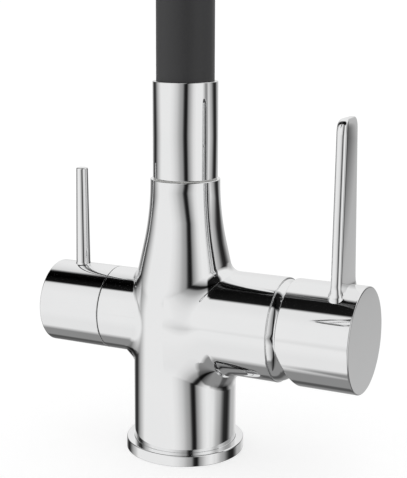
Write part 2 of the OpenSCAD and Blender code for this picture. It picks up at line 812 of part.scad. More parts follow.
module valve_spindle() {
    ring_floor = valve_stem_r + fit_gap - disc_film - 2 * seal_cord;
    color(brass) difference() {
        union() {
            on_filter(valve_drive_x) cylinder(r = valve_disc_r - pass_gap, h = valve_drive_t);
            on_filter(valve_drive_x) cylinder(r = valve_stem_r, h = valve_end + clip_t - valve_drive_x
                + 4 * clip_gap);
            on_filter(valve_end) translate([-half * square_w, -half * square_w, 0])
                cube([square_w, square_w, knob_bore_end - valve_end]);
        }
        on_filter(valve_ring_x - 1.3 * seal_cord) tube(valve_disc_r, ring_floor, 2.6 * seal_cord);
        on_filter(valve_end + clip_gap) tube(valve_disc_r, 0.76 * valve_stem_r, clip_t + 2 * clip_gap);
    }
}

module valve_o_ring() {
    color(rubber) on_filter(valve_ring_x)
        o_ring(valve_stem_r + fit_gap - disc_film - seal_cord, seal_cord);
}

module valve_clip() {
    slot = 0.76 * valve_stem_r;
    color(steel) difference() {
        on_filter(valve_end + 2 * clip_gap) tube(1.3 * valve_stem_r, slot + press_gap, clip_t);
        on_filter(valve_end) translate([0, -half * slot, 0]) cube([2 * valve_stem_r, slot, 3 * clip_t]);
    }
}

module filter_knob() {
    color(chrome) difference() {
        on_filter(knob_x) rounded_disc(filter_r, knob_end - knob_x, edge);
        difference() {
            on_filter(knob_x - overrun)
                cylinder(r = filter_r - knob_wall, h = knob_bore_end - knob_x + overrun);
            on_filter(knob_hub_x) cylinder(r = knob_hub_r, h = knob_end - knob_hub_x);
        }
        on_filter(knob_hub_x - overrun)
            translate([-half * square_w - fit_gap, -half * square_w - fit_gap, 0])
            cube([square_w + 2 * fit_gap, square_w + 2 * fit_gap,
                knob_bore_end - knob_hub_x + overrun + pass_gap]);
        translate([-pin_lever_x, 0, arm_z]) cylinder(r = stud_r + press_gap, h = 2 * filter_r);
    }
}

module filter_lever() {
    tip = pin_lever_top - edge;
    color(chrome) union() {
        difference() {
            translate([-pin_lever_x, 0, 0]) rotate_extrude() polygon([
                [0, pin_lever_foot - overrun], [pin_lever_foot_r, pin_lever_foot - overrun],
                [pin_lever_foot_r, pin_lever_foot],
                [pin_lever_tip_r, tip], [pin_lever_tip_r - edge, pin_lever_top], [0, pin_lever_top]
            ]);
            on_filter(knob_x) cylinder(r = filter_r + press_gap, h = knob_end - knob_x);
        }
        translate([-pin_lever_x, 0, arm_z + half * square_w + fit_gap])
            cylinder(r = stud_r, h = filter_r);
    }
}

// Swivel and collar
module swivel_stem() {
    color(brass) difference() {
        union() {
            translate([0, 0, stem_foot]) cylinder(r = stem_r, h = collar_z - stem_foot);
            translate([0, 0, collar_z]) cylinder(r = stem_flange_r, h = stem_top - collar_z);
        }
        translate([0, 0, stem_foot - overrun])
            cylinder(r = stem_bore_r, h = stem_top - stem_foot + 2 * overrun);
        for (side = [-1, 1]) {
            translate([0, 0, lock_z + side * seal_offset - half * seal_groove_w])
                tube(collar_r, seal_ring_r - o_ring_r, seal_groove_w);
        }
        translate([0, 0, lock_z - lock_r - pass_gap])
            tube(collar_r, stem_r - groove_depth, 2 * (lock_r + pass_gap));
    }
}

module stem_seals() {
    color(rubber) for (side = [-1, 1]) {
        translate([0, 0, lock_z + side * seal_offset]) o_ring(seal_ring_r, o_ring_r);
    }
}

module slide_ring() {
    color(white_plastic) translate([0, 0, neck_top + half * disc_film])
        tube(collar_r - pass_gap, neck_socket_r + half * pass_gap, slide_ring_t);
}

module lock_screw() {
    screw_out = neck_r - pass_gap;
    screw_in = stem_r - groove_depth + pass_gap;
    color(steel) translate([0, screw_in, lock_z]) rotate([-90, 0, 0])
        grub_screw(lock_r, screw_out - screw_in);
}

module collar() {
    bevel = half * edge;
    color(chrome) rotate_extrude() polygon([
        [collar_bore, collar_z], [collar_r - bevel, collar_z], [collar_r, collar_z + bevel],
        [collar_r, collar_top - bevel], [collar_r - bevel, collar_top], [collar_bore, collar_top]
    ]);
}

module tube_seal() {
    color(rubber) translate([0, 0, seal_pocket_z + seal_cord]) o_ring(tube_r + seal_cord, seal_cord);
}

// Flexible spout: one stretch of the bend, starting upwards from here, and places along it
module bend_tube(outer, inner) {
    translate([0, -bend_r, 0]) rotate([90, 0, 90])
        rotate_extrude(angle = stretch, $fn = 240) translate([bend_r, 0]) difference() {
            circle(r = outer, $fn = 64);
            circle(r = inner, $fn = 64);
        }
}

module at_bend(angle) {
    translate([0, bend_r * (cos(angle) - 1), bend_z + bend_r * sin(angle)]) rotate([angle, 0, 0])
        children();
}

// The ball at the end of a stretch, hollowed by a mouth that widens with the joint's turn
module flex_ball(outer, inner, ball, lap) {
    difference() {
        intersection() {
            sphere(r = ball, $fn = 64);
            translate([0, 0, -root_len]) cylinder(r = outer - lap, h = 2 * ball, $fn = 64);
        }
        translate([0, 0, -root_len]) cylinder(r1 = inner + lap,
            r2 = inner + lap + 2 * ball * tan(flex_max), h = 2 * ball, $fn = 64);
    }
}

// One stretch of a bent tube: a hollow seat at its start joint and a ball at its end joint
module flex_tube(index, outer, inner, ball, head, tail, lap) {
    from = (index - 1) * stretch;
    to = index * stretch;
    first = index == 1;
    last = index == joint_count + 1;
    difference() {
        union() {
            if (!last) at_bend(from) bend_tube(outer, inner);
            if (last) at_bend(to) rotate([0, 180, 0]) bend_tube(outer, inner);
            if (first) translate([0, 0, head]) straight_tube(outer, inner, bend_z - head);
            if (last) at_bend(to) straight_tube(outer, inner, tail);
            if (!last) at_bend(to) flex_ball(outer, inner, ball, lap);
        }
        if (!first) at_bend(from) sphere(r = ball + pass_gap, $fn = 64);
    }
}

module sleeve(index) {
    color(silicone) flex_tube(index, sleeve_r, sleeve_bore, sleeve_ball, sleeve_foot, sleeve_end,
        pass_gap);
}

module hose(index) {
    color(grey_plastic) flex_tube(index, hose_r, hose_bore, hose_ball, hose_foot, nozzle_flange_x,
        half * pass_gap);
}

module filtered_tube(index) {
    color(clear_tube) flex_tube(index, tube_r, tube_bore, tube_ball, tube_foot, tube_end,
        half * half * pass_gap);
}

// Nozzle and aerator, along the drop
module on_drop(t) {
    at_bend(180) translate([0, 0, t]) children();
}

module nozzle_shell() {
    bevel = half * edge;
    bore = aerator_r + press_gap;
    length = nozzle_len;
    color(chrome) on_drop(nozzle_top) rotate_extrude() polygon([
        [collar_bore, 0], [collar_r - bevel, 0], [collar_r, bevel],
        [collar_r, length - 2 * bevel], [collar_r - 2 * bevel, length], [bore, length],
        [bore, sleeve_grip + disc_film], [collar_bore, sleeve_grip + disc_film]
    ]);
}

module nozzle_stem() {
    channel_count = 6;
    channel_r = 1.1;
    channel_pitch = half * (tube_r + hose_bore);
    color(brass) difference() {
        union() {
            on_drop(nozzle_flange_x) cylinder(r = aerator_r - disc_film, h = nozzle_flange_t);
            on_drop(nozzle_flange_x - spigot_len)
                cylinder(r = hose_bore - disc_film, h = spigot_len + overrun);
        }
        on_drop(0) cylinder(r = tube_r + fit_gap, h = nozzle_foot);
        for (i = [1 : channel_count]) {
            on_drop(0) rotate([0, 0, i * 360 / channel_count]) translate([channel_pitch, 0, 0])
                cylinder(r = channel_r, h = nozzle_foot);
        }
    }
}

module aerator_seal() {
    color(rubber) on_drop(aerator_top - aerator_seal_t)
        tube(aerator_r - disc_film, aerator_r - aerator_seal_t, aerator_seal_t);
}

module aerator_housing() {
    color(chrome) on_drop(aerator_top) difference() {
        rounded_disc(aerator_r, aerator_len, half * edge);
        translate([0, 0, -overrun])
            cylinder(r = aerator_r - aerator_wall, h = aerator_len - aerator_lip + overrun);
        cylinder(r = aerator_r - aerator_wall - aerator_lip, h = aerator_len + overrun);
    }
}

module aerator_insert() {
    insert_r = aerator_r - aerator_wall - disc_film;
    insert_foot = nozzle_foot + aerator_rim - aerator_lip;
    color(grey_plastic) difference() {
        on_drop(insert_foot - insert_t) cylinder(r = insert_r, h = insert_t);
        on_drop(0) cylinder(r = outlet_r + press_gap, h = nozzle_foot + overrun);
        for (row = jet_row_shares) {
            for (i = [1 : row[0]]) {
                on_drop(0) rotate([0, 0, i * 360 / row[0]]) translate([row[1] * insert_r, 0, 0])
                    cylinder(r = jet_r, h = nozzle_foot + overrun, $fn = 24);
            }
        }
    }
}

module filtered_outlet() {
    outlet_len = nozzle_foot + half * aerator_rim - tube_end + tube_grip;
    color(white_plastic) difference() {
        on_drop(tube_end - tube_grip) cylinder(r = outlet_r, h = outlet_len);
        on_drop(0) cylinder(r = tube_r + press_gap, h = tube_end);
        on_drop(0) cylinder(r = tube_bore, h = nozzle_foot + overrun);
    }
}

body();
base_ring();
base_gasket();
shank();
rubber_washer();
steel_washer();
shank_nut();
cartridge_housing();
cartridge_base();
port_seals();
fixed_disc();
sliding_disc();
disc_carrier();
rotor();
tilt_pin();
spindle();
retaining_nut();
dome_ring();
handle();
mixer_lever();
handle_screw();
handle_plug();
valve_body();
valve_seal();
valve_fixed_disc();
valve_turning_disc();
valve_spindle();
valve_o_ring();
valve_clip();
filter_knob();
filter_lever();
swivel_stem();
stem_seals();
slide_ring();
lock_screw();
collar();
tube_seal();
sleeve(1);  // sleeve_1
sleeve(2);  // sleeve_2
sleeve(3);  // sleeve_3
sleeve(4);  // sleeve_4
sleeve(5);  // sleeve_5
hose(1);  // hose_1
hose(2);  // hose_2
hose(3);  // hose_3
hose(4);  // hose_4
hose(5);  // hose_5
filtered_tube(1);  // tube_1
filtered_tube(2);  // tube_2
filtered_tube(3);  // tube_3
filtered_tube(4);  // tube_4
filtered_tube(5);  // tube_5
nozzle_shell();
nozzle_stem();
aerator_seal();
aerator_housing();
aerator_insert();
filtered_outlet();
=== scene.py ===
import math

import bpy
import numpy as np
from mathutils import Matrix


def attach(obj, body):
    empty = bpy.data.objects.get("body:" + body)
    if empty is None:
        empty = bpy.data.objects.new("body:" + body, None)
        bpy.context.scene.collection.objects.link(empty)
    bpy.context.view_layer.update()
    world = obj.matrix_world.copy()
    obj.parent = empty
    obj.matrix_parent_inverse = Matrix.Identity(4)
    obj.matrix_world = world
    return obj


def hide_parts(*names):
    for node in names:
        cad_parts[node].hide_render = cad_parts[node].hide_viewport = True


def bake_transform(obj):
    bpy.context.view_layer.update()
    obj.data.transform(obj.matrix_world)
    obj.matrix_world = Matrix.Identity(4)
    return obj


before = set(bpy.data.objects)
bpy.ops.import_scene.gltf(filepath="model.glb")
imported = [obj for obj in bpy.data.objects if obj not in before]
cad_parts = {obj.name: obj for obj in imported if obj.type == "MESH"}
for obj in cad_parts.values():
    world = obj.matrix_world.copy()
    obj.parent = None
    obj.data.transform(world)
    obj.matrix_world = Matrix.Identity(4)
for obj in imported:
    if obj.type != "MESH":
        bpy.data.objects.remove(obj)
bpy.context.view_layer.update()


# The body is one brass casting, polished and chromed: a column with a mixer arm and a filtered
# water arm. The arms grow out of the column with rounded junctions, and the flare narrows to the
# neck that carries the spout.

COLUMN_R = 0.0231
BODY_FOOT = 0.003
ARM_Z = 0.061
MIXER_R = 0.0229
MIXER_FACE = 0.0485
FILTER_R = 0.019
FILTER_FACE = 0.035
NECK_R = 0.0155
NECK_TOP = 0.1241
NECK_STRAIGHT = 0.0011
FLARE_ANGLE = math.radians(12.2)
FLARE_LOW_R = 0.080
FLARE_HIGH_R = 0.130
# Radii of the junctions' rounds, and what they gain towards the arms' undersides
MIXER_JUNCTION = 0.0036
MIXER_GAIN = 0.0042
FILTER_JUNCTION = 0.0012
FILTER_GAIN = 0.0032
# The gain starts above the arms' axis and is whole below it, in shares of the mixer arm's radius
GAIN_FROM_SHARE = -0.4
GAIN_TO_SHARE = 0.6
# The last stretch of the neck and of each arm is a rim of its own
NECK_RIM = 0.0006
MIXER_RIM = 0.0006
FILTER_RIM = 0.0003


def add_piece(name, points, faces, material, body, normals=None, weld=1e-7):
    """One mesh object from an array of points and an array of four-cornered faces.

    Points closer than weld become one, so seams close and a row of equal points becomes a pole.
    normals, one for each point, are the surface's true directions where they are known."""
    mesh = bpy.data.meshes.new(name)
    key = np.round(points / weld).astype(np.int64)
    _, first, index = np.unique(key, axis=0, return_index=True, return_inverse=True)
    quads = index.reshape(-1)[faces]
    keep = quads != np.roll(quads, -1, axis=1)
    whole = keep.all(1)
    three = keep.sum(1) == 3
    loops = np.concatenate([quads[whole].ravel(), quads[three][keep[three]]])
    sizes = np.concatenate([np.full(whole.sum(), 4), np.full(three.sum(), 3)])
    starts = np.concatenate([[0], np.cumsum(sizes)[:-1]])
    mesh.vertices.add(len(first))
    mesh.vertices.foreach_set("co", points[first].astype(np.float32).ravel())
    mesh.loops.add(len(loops))
    mesh.loops.foreach_set("vertex_index", loops.astype(np.int32))
    mesh.polygons.add(len(sizes))
    mesh.polygons.foreach_set("loop_start", starts.astype(np.int32))
    mesh.update(calc_edges=True)
    mesh.validate()
    mesh.shade_smooth()
    if normals is not None:
        mesh.normals_split_custom_set_from_vertices(normals[first].astype(np.float32))
    mesh.materials.append(material)
    piece = bpy.data.objects.new(name, mesh)
    bpy.context.scene.collection.objects.link(piece)
    if body:
        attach(piece, body)
    return piece


def grid_faces(rows, columns):
    """The four-cornered faces between neighbouring rows and columns of a grid of points."""
    r, c = np.meshgrid(np.arange(rows - 1), np.arange(columns - 1), indexing="ij")
    a = (r * columns + c).ravel()
    return np.stack([a, a + columns, a + columns + 1, a + 1], 1)


def flare_radius(z):
    """Radius of the body at height z: straight column, convex arc of FLARE_LOW_R, straight cone
    at FLARE_ANGLE from upright, hollow arc of FLARE_HIGH_R and straight neck, each running into
    the next without a kink."""
    top = NECK_TOP - NECK_STRAIGHT
    high_z = top - FLARE_HIGH_R * math.sin(FLARE_ANGLE)
    high_r = NECK_R + FLARE_HIGH_R * (1 - math.cos(FLARE_ANGLE))
    low_r = COLUMN_R - FLARE_LOW_R * (1 - math.cos(FLARE_ANGLE))
    low_z = high_z - (low_r - high_r) / math.tan(FLARE_ANGLE)
    foot = low_z - FLARE_LOW_R * math.sin(FLARE_ANGLE)
    low_arc = COLUMN_R - FLARE_LOW_R + np.sqrt(np.maximum(FLARE_LOW_R ** 2 - (z - foot) ** 2, 0))
    cone = low_r - (z - low_z) * math.tan(FLARE_ANGLE)
    high_arc = NECK_R + FLARE_HIGH_R - np.sqrt(np.maximum(FLARE_HIGH_R ** 2 - (top - z) ** 2, 0))
    return np.select([z < foot, z < low_z, z < high_z, z <= top],
                     [COLUMN_R, low_arc, cone, high_arc], NECK_R)


def gain_share(drop):
    """0 high on an arm and 1 low on it, straight between; drop is the height below the arms' axis
    in radii of the mixer arm."""
    return np.clip((drop - GAIN_FROM_SHARE) / (GAIN_TO_SHARE - GAIN_FROM_SHARE), 0, 1)


def body_distance(p, middle=0.001):
    """Distance to the casting. Column and arm are joined by distance = max(R, min(column, arm))
    - hypot(R - column, R - arm), each difference no less than 0, which is a round of radius R in
    their inner corner. R gains towards the underside, with the fourth power on the small arm.
    Nearer than middle to the plane between the arms, the column stands alone."""
    x, y, z = p[..., 0], p[..., 1], p[..., 2]
    slope = (flare_radius(z + 1e-5) - flare_radius(z - 1e-5)) / 2e-5
    column = (np.hypot(x, y) - flare_radius(z)) / np.sqrt(1 + slope ** 2)
    arm = np.hypot(y, z - ARM_Z) - np.where(x > 0, MIXER_R, FILTER_R)
    arm = np.where(np.abs(x) < middle, 1.0, arm)
    gain = gain_share((ARM_Z - z) / MIXER_R)
    turn = np.where(x > 0, MIXER_JUNCTION + MIXER_GAIN * gain,
                    FILTER_JUNCTION + FILTER_GAIN * gain ** 4)
    u, v = np.maximum(turn - column, 0), np.maximum(turn - arm, 0)
    return np.maximum(turn, np.minimum(column, arm)) - np.hypot(u, v)


def gradient(p, step=2e-6):
    """Direction in which the distance grows, by differences along the three axes."""
    g = np.stack([body_distance(p + step * e) - body_distance(p - step * e) for e in np.eye(3)], -1)
    return g / np.linalg.norm(g, axis=-1, keepdims=True)


def body_side(sign, radius, face):
    """Half of the casting: strips that start at the arm's face, run in along the arm, round the
    junction and over the column to the half's edge at x = 0, at the foot or at the neck. Each
    point is then moved along the gradient by its distance until it lies on the surface."""
    n_side, n_end, n_arm, n_round, n_column, n_moves = 150, 90, 12, 26, 60, 12
    arm_share, hole_share, widest_share = 1.3, 1.6, 0.985
    top, foot, quarter = NECK_TOP - NECK_RIM, BODY_FOOT, math.pi / 2
    # The half's edge, as turns round the column and heights
    turn = np.concatenate([np.full(n_side, quarter), np.linspace(quarter, -quarter, n_end),
                           np.full(n_side, -quarter), np.linspace(-quarter, quarter, n_end)])
    high = np.concatenate([np.linspace(foot, top, n_side), np.full(n_end, top),
                           np.linspace(top, foot, n_side), np.full(n_end, foot)])
    around = np.arctan2(high - ARM_Z, turn * COLUMN_R)
    # Where the arm would meet the column without a round
    arm_y, arm_z = radius * np.cos(around), ARM_Z + radius * np.sin(around)
    meet_r = flare_radius(arm_z)
    meet_x = np.sqrt(np.maximum(meet_r ** 2 - np.minimum(np.abs(arm_y), meet_r) ** 2, 0))
    wider = MIXER_GAIN * gain_share(-np.sin(around))
    arm_start = meet_x + arm_share * MIXER_JUNCTION + wider
    s = np.linspace(0, 1, n_arm)[:, None] ** 0.8
    along = face + (arm_start - face) * s
    arm_rows = np.stack([along, np.broadcast_to(arm_y, along.shape),
                         np.broadcast_to(arm_z, along.shape)], -1)
    # The hole's edge on the column, a junction's width outside the arm
    hole_size = radius + hole_share * MIXER_JUNCTION + wider
    hole_z = ARM_Z + hole_size * np.sin(around)
    hole_r = flare_radius(hole_z)
    hole_t = np.arcsin(np.clip(hole_size * np.cos(around) / hole_r, -widest_share, widest_share))
    hole = np.stack([hole_r * np.cos(hole_t), hole_r * np.sin(hole_t), hole_z], -1)
    s = np.linspace(0, 1, n_column)[1:, None]
    t = hole_t + (turn - hole_t) * s
    z = hole_z + (high - hole_z) * s
    r = flare_radius(z)
    column_rows = np.stack([r * np.cos(t), r * np.sin(t), z], -1)
    s = np.linspace(0, 1, n_round)[1:, None, None]
    round_rows = arm_rows[-1] + (hole - arm_rows[-1]) * s
    rows = np.concatenate([arm_rows, round_rows, column_rows])
    rows = np.concatenate([rows, rows[:, :1]], 1)
    flat = rows.reshape(-1, 3) * (sign, 1, 1)
    free = np.ones(rows.shape[:2], bool)
    free[0] = free[-1] = False
    free = free.ravel()
    p = flat[free]
    for _ in range(n_moves):
        p = p - body_distance(p)[:, None] * gradient(p)
    flat[free] = p
    faces = grid_faces(*rows.shape[:2])
    return flat, (faces if sign > 0 else faces[:, ::-1]), gradient(flat)


def chrome_finish():
    """Bright chrome: a mirror with the faint cloudiness and hair-fine wiping marks that polishing
    leaves, too weak to see except where a sharp edge is mirrored."""
    material = bpy.data.materials.new("polished_chrome")
    material.use_nodes = True
    nodes, links = material.node_tree.nodes, material.node_tree.links
    shader = nodes["Principled BSDF"]
    shader.inputs["Metallic"].default_value = 1.0
    seat = nodes.new("ShaderNodeTexCoord")
    cloud = nodes.new("ShaderNodeTexNoise")
    cloud.inputs["Scale"].default_value = 60.0
    cloud.inputs["Detail"].default_value = 4.0
    links.new(seat.outputs["Object"], cloud.inputs["Vector"])
    tint = nodes.new("ShaderNodeMix")
    tint.data_type = "RGBA"
    tint.inputs["A"].default_value = (0.93, 0.935, 0.94, 1)
    tint.inputs["B"].default_value = (0.965, 0.965, 0.965, 1)
    links.new(cloud.outputs["Fac"], tint.inputs["Factor"])
    links.new(tint.outputs["Result"], shader.inputs["Base Color"])
    stretch = nodes.new("ShaderNodeMapping")
    stretch.inputs["Scale"].default_value = (900, 900, 120)
    links.new(seat.outputs["Object"], stretch.inputs["Vector"])
    wipe = nodes.new("ShaderNodeTexNoise")
    wipe.inputs["Scale"].default_value = 1.0
    wipe.inputs["Detail"].default_value = 2.0
    links.new(stretch.outputs["Vector"], wipe.inputs["Vector"])
    rough = nodes.new("ShaderNodeMapRange")
    rough.inputs["To Min"].default_value = 0.02
    rough.inputs["To Max"].default_value = 0.055
    links.new(wipe.outputs["Fac"], rough.inputs["Value"])
    links.new(rough.outputs["Result"], shader.inputs["Roughness"])
    return material


chrome = chrome_finish()


def turned(profile, sides=192):
    """A turned shape: profile holds (distance from the axis, height) and is carried round the
    axis, point (r cos t, r sin t, h)."""
    profile = np.asarray(profile, float)
    t = np.linspace(0, 2 * math.pi, sides + 1)
    r, h = profile[:, 0, None], profile[:, 1, None]
    points = np.stack([r * np.cos(t), r * np.sin(t), h + 0 * t], -1)
    points[:, -1] = points[:, 0]
    return points.reshape(-1, 3), grid_faces(len(profile), sides + 1)


def softened(corners, rounds, steps=6, hold=0.00004):
    """A profile's corners, each replaced by an arc of its own round's radius between the two
    straights. A tight pair of points before and after the arc, and at a corner with no round,
    keeps the flats flat under smooth shading."""
    corners = np.asarray(corners, float)
    out = [corners[0]]
    for i in range(1, len(corners) - 1):
        before, here, after = corners[i - 1], corners[i], corners[i + 1]
        a = (before - here) / np.linalg.norm(before - here)
        b = (after - here) / np.linalg.norm(after - here)
        if rounds[i] <= 0:
            tight = 0.05 * hold
            out += [here + a * hold, here + a * tight, here + b * tight, here + b * hold]
            continue
        half = math.acos(np.clip(a @ b, -1, 1)) / 2
        reach = rounds[i] / math.tan(half)
        centre = here + (a + b) / np.linalg.norm(a + b) * rounds[i] / math.sin(half)
        start, end = here + a * reach, here + b * reach
        u, v = start - centre, end - centre
        sweep = math.pi - 2 * half
        k = np.linspace(0, 1, steps + 1)[:, None]
        arc = centre + (np.sin((1 - k) * sweep) * u + np.sin(k * sweep) * v) / math.sin(sweep)
        out += [start + a * hold, *arc, end + b * hold]
    out.append(corners[-1])
    return np.array(out)


def place(points, origin, x_axis, y_axis, z_axis):
    """Points moved from a piece's own axes to the tap's frame: the origin plus each coordinate
    times its axis."""
    return np.asarray(origin) + points @ np.array([x_axis, y_axis, z_axis], float)


UPRIGHT_AXES = ((0, 0, 0), (1, 0, 0), (0, 1, 0), (0, 0, 1))
MIXER_AXES = ((0, 0, ARM_Z), (0, 1, 0), (0, 0, 1), (1, 0, 0))
FILTER_AXES = ((0, 0, ARM_Z), (0, -1, 0), (0, 0, 1), (-1, 0, 0))


def add_rim(name, axes, radius, face, length, bore, floor, edge):
    """The end of the neck or of an arm: its last stretch, the rounded edge, the face and the bore
    down to a floor that closes it."""
    rim = softened([(radius, face - length), (radius, face), (bore, face), (bore, floor),
                    (0, floor)], [0, edge, 0, 0, 0])
    points, faces = turned(rim)
    return add_piece(name, place(points, *axes), faces[:, ::-1], chrome, "tap_body")


mixer_half = body_side(1, MIXER_R, MIXER_FACE - MIXER_RIM)
filter_half = body_side(-1, FILTER_R, FILTER_FACE - FILTER_RIM)
body = add_piece("body_casting", np.concatenate([mixer_half[0], filter_half[0]]),
                 np.concatenate([mixer_half[1], filter_half[1] + len(mixer_half[0])]), chrome,
                 "tap_body", np.concatenate([mixer_half[2], filter_half[2]]))
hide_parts("body")
add_rim("neck_rim", UPRIGHT_AXES, NECK_R, NECK_TOP, NECK_RIM, bore=0.0120, floor=0.1100,
        edge=0.0004)
add_rim("mixer_arm_rim", MIXER_AXES, MIXER_R, MIXER_FACE, MIXER_RIM, bore=0.0190, floor=0.0420,
        edge=0.0005)
add_rim("filter_arm_rim", FILTER_AXES, FILTER_R, FILTER_FACE, FILTER_RIM, bore=0.0128, floor=0.0320,
        edge=0.00025)
SHANK_R = 0.0165
SOCKET_STEP = 0.0002
closing = softened([(0, BODY_FOOT + SOCKET_STEP), (SHANK_R, BODY_FOOT + SOCKET_STEP),
                    (SHANK_R, BODY_FOOT), (COLUMN_R, BODY_FOOT)], [0, 0, 0, 0])
points, faces = turned(closing)
add_piece("column_foot", points, faces[:, ::-1], chrome, "tap_body")


# The base ring is turned from brass and chromed, with a rubber gasket in its underside, and it
# carries the column on the worktop. Below, a threaded brass shank is drawn down by a nut on a
# steel and a rubber washer.

BASE_R = 0.0267
BASE_H = 0.005
RING_WEB = 0.0015
RING_INSIDE = 0.002
RING_RIM = 0.0022
RING_GAP = 0.00006
ring_in, ring_wall, ring_seat = COLUMN_R - RING_INSIDE, COLUMN_R + RING_GAP, BASE_R - RING_RIM
ring = softened([(ring_in, RING_WEB), (ring_wall, RING_WEB), (ring_wall, BASE_H), (BASE_R, BASE_H),
                 (BASE_R, 0), (ring_seat, 0), (ring_seat, RING_WEB), (ring_in, RING_WEB)],
                [0, 0, 0.0002, 0.0005, 0.0002, 0, 0, 0])
points, faces = turned(ring, sides=256)
base_ring = add_piece("base_rosette", points, faces, chrome, "tap_body")
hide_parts("base_ring")


def grain_group():
    """Node group for a fine grain: noise over the piece's own coordinates, stretched where a tool
    ran along it, mixes two colours, sets the roughness between smooth and dull and is put out as
    a height."""
    group = bpy.data.node_groups.new("fine_grain", "ShaderNodeTree")
    for way, kind, names in (("INPUT", "Vector", ("Place", "Stretch")),
                             ("INPUT", "Color", ("Colour", "Second Colour")),
                             ("INPUT", "Float", ("Fineness", "Smooth", "Dull")),
                             ("OUTPUT", "Color", ("Colour",)),
                             ("OUTPUT", "Float", ("Roughness", "Height"))):
        for name in names:
            group.interface.new_socket(name=name, in_out=way, socket_type="NodeSocket" + kind)
    nodes, links = group.nodes, group.links
    given, out = nodes.new("NodeGroupInput"), nodes.new("NodeGroupOutput")
    scale = nodes.new("ShaderNodeMapping")
    links.new(given.outputs["Place"], scale.inputs["Vector"])
    links.new(given.outputs["Stretch"], scale.inputs["Scale"])
    noise = nodes.new("ShaderNodeTexNoise")
    noise.inputs["Detail"].default_value = 5.0
    links.new(scale.outputs["Vector"], noise.inputs["Vector"])
    links.new(given.outputs["Fineness"], noise.inputs["Scale"])
    tint = nodes.new("ShaderNodeMix")
    tint.data_type = "RGBA"
    links.new(noise.outputs["Fac"], tint.inputs["Factor"])
    links.new(given.outputs["Colour"], tint.inputs["A"])
    links.new(given.outputs["Second Colour"], tint.inputs["B"])
    links.new(tint.outputs["Result"], out.inputs["Colour"])
    rough = nodes.new("ShaderNodeMapRange")
    links.new(noise.outputs["Fac"], rough.inputs["Value"])
    links.new(given.outputs["Smooth"], rough.inputs["To Min"])
    links.new(given.outputs["Dull"], rough.inputs["To Max"])
    links.new(rough.outputs["Result"], out.inputs["Roughness"])
    links.new(noise.outputs["Fac"], out.inputs["Height"])
    return group


grain = grain_group()


def worked(name, colour, second, metallic, smooth, dull, fineness, depth, stretch=(1, 1, 1)):
    """A finish with the fine grain: two colours, a roughness from smooth to dull, and a bump of
    the given depth."""
    material = bpy.data.materials.new(name)
    material.use_nodes = True
    nodes, links = material.node_tree.nodes, material.node_tree.links
    shader = nodes["Principled BSDF"]
    shader.inputs["Metallic"].default_value = metallic
    seat = nodes.new("ShaderNodeTexCoord")
    surface = nodes.new("ShaderNodeGroup")
    surface.node_tree = grain
    links.new(seat.outputs["Object"], surface.inputs["Place"])
    for socket, value in (("Stretch", stretch), ("Fineness", fineness), ("Colour", (*colour, 1)),
                          ("Second Colour", (*second, 1)), ("Smooth", smooth), ("Dull", dull)):
        surface.inputs[socket].default_value = value
    links.new(surface.outputs["Colour"], shader.inputs["Base Color"])
    links.new(surface.outputs["Roughness"], shader.inputs["Roughness"])
    bump = nodes.new("ShaderNodeBump")
    bump.inputs["Strength"].default_value = 0.4
    bump.inputs["Distance"].default_value = depth
    links.new(surface.outputs["Height"], bump.inputs["Height"])
    links.new(bump.outputs["Normal"], shader.inputs["Normal"])
    return material


def dress(material, *names):
    """Gives CAD nodes that keep their shape a finish."""
    for name in names:
        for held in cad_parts[name].material_slots:
            held.material = material


brass = worked("turned_brass", (0.66, 0.47, 0.20), (0.55, 0.38, 0.15), metallic=1, smooth=0.18,
               dull=0.4, fineness=900, depth=0.00002, stretch=(1, 1, 12))
steel = worked("satin_steel", (0.56, 0.57, 0.58), (0.48, 0.49, 0.5), metallic=1, smooth=0.25,
               dull=0.42, fineness=700, depth=0.00002, stretch=(8, 1, 1))
rubber = worked("black_rubber", (0.018, 0.018, 0.018), (0.03, 0.03, 0.03), metallic=0, smooth=0.55,
                dull=0.8, fineness=1500, depth=0.00003)
dress(brass, "shank", "shank_nut")
dress(steel, "steel_washer")
dress(rubber, "base_gasket", "rubber_washer")
# The worktop keeps these from the polished faces above it
for name in ("shank", "shank_nut", "steel_washer", "rubber_washer"):
    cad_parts[name].visible_glossy = False


# The mixer cartridge is a plastic housing with two lapped ceramic discs, the upper one slid and
# turned by a square steel spindle that tilts on a pin. A brass nut holds it all in the arm.

ceramic = worked("lapped_ceramic", (0.86, 0.83, 0.76), (0.8, 0.77, 0.7), metallic=0, smooth=0.12,
                 dull=0.2, fineness=400, depth=0.00001)
white_plastic = worked("white_plastic", (0.78, 0.78, 0.75), (0.72, 0.72, 0.7), metallic=0,
                       smooth=0.3, dull=0.45, fineness=600, depth=0.00001)
grey_plastic = worked("grey_plastic", (0.16, 0.17, 0.18), (0.2, 0.2, 0.21), metallic=0,
                      smooth=0.35, dull=0.5, fineness=600, depth=0.00001)
dress(white_plastic, "cartridge_housing", "rotor")
dress(grey_plastic, "cartridge_base", "disc_carrier")
dress(ceramic, "fixed_disc", "sliding_disc")
dress(rubber, "port_seals")
dress(steel, "tilt_pin", "spindle")
dress(brass, "retaining_nut")


# The dome ring is thin, turned from brass and chromed, with a rounded shoulder. It is screwed
# into the mixer arm's rim and closes the gap behind the handle.

